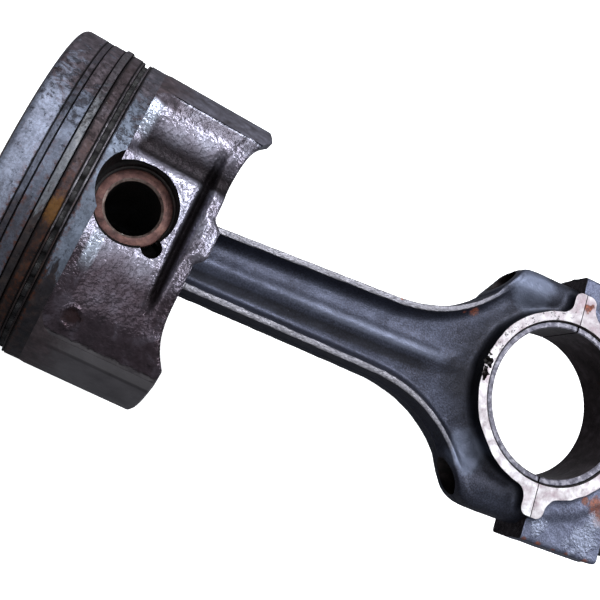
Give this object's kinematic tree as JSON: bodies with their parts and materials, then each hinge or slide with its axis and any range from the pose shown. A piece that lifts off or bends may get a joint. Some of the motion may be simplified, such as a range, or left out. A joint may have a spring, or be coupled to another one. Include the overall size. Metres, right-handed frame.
{
  "type": "engine piston with connecting rod",
  "caption": "Slipper-skirt engine piston with rings and a floating wrist pin, hinged on an I-beam connecting rod with a bolted bearing cap.",
  "frame": {"origin": "centre of the big-end bearing bore, halfway between the two thrust faces", "axes": "+Z along the crankpin and the wrist pin, -X along the rod from the big end to the piston, +Y completes the frame"},
  "size_m": [0.2105, 0.0901, 0.0866],
  "materials": {
    "rod_steel": "dark satin forged steel",
    "bush_bronze": "bored bronze",
    "cap_steel": "dark satin forged steel with rust",
    "shell_upper": "satin bearing metal on steel",
    "shell_lower": "satin bearing metal on steel",
    "bolt_steel": "dark oiled steel",
    "piston": "used cast aluminium, brown and purple stains",
    "pin_steel": "ground steel with light rust on its ends",
    "clip_steel": "oily spring wire",
    "ring_steel": "worn grey ring face",
    "oil_rail": "thin polished steel",
    "expander": "oil-blackened spring steel"
  },
  "bodies": {
    "rod_group": {"connecting_rod": "rod_steel", "small_end_bush": "bush_bronze", "rod_cap": "cap_steel", "bearing_shell_upper": "shell_upper", "bearing_shell_lower": "shell_lower", "rod_bolt_right": "bolt_steel", "rod_bolt_left": "bolt_steel"},
    "piston_group": {"piston": "piston", "circlip_front": "clip_steel", "circlip_rear": "clip_steel"},
    "pin_group": {"wrist_pin": "pin_steel"},
    "top_ring_group": {"top_compression_ring": "ring_steel"},
    "second_ring_group": {"second_compression_ring": "ring_steel"},
    "upper_rail_group": {"oil_rail_upper": "oil_rail"},
    "lower_rail_group": {"oil_rail_lower": "oil_rail"},
    "expander_group": {"oil_ring_expander": "expander"}
  },
  "joints": [
    {"name": "piston_swing", "type": "hinge", "parent": "rod_group", "child": "piston_group", "pos_m": [-0.1405, 0, 0], "axis": [0, 0, 1], "range_deg": [-36, 46]},
    {"name": "wrist_pin_spin", "type": "hinge", "parent": "piston_group", "child": "pin_group", "pos_m": [-0.1405, 0, 0], "axis": [0, 0, 1], "continuous": true},
    {"name": "top_ring_spin", "type": "hinge", "parent": "piston_group", "child": "top_ring_group", "pos_m": [-0.1405, 0, 0], "axis": [0.996, -0.0889, 0], "continuous": true},
    {"name": "second_ring_spin", "type": "hinge", "parent": "piston_group", "child": "second_ring_group", "pos_m": [-0.1405, 0, 0], "axis": [0.996, -0.0889, 0], "continuous": true},
    {"name": "upper_rail_spin", "type": "hinge", "parent": "piston_group", "child": "upper_rail_group", "pos_m": [-0.1405, 0, 0], "axis": [0.996, -0.0889, 0], "continuous": true},
    {"name": "lower_rail_spin", "type": "hinge", "parent": "piston_group", "child": "lower_rail_group", "pos_m": [-0.1405, 0, 0], "axis": [0.996, -0.0889, 0], "continuous": true},
    {"name": "expander_spin", "type": "hinge", "parent": "piston_group", "child": "expander_group", "pos_m": [-0.1405, 0, 0], "axis": [0.996, -0.0889, 0], "continuous": true}
  ]
}
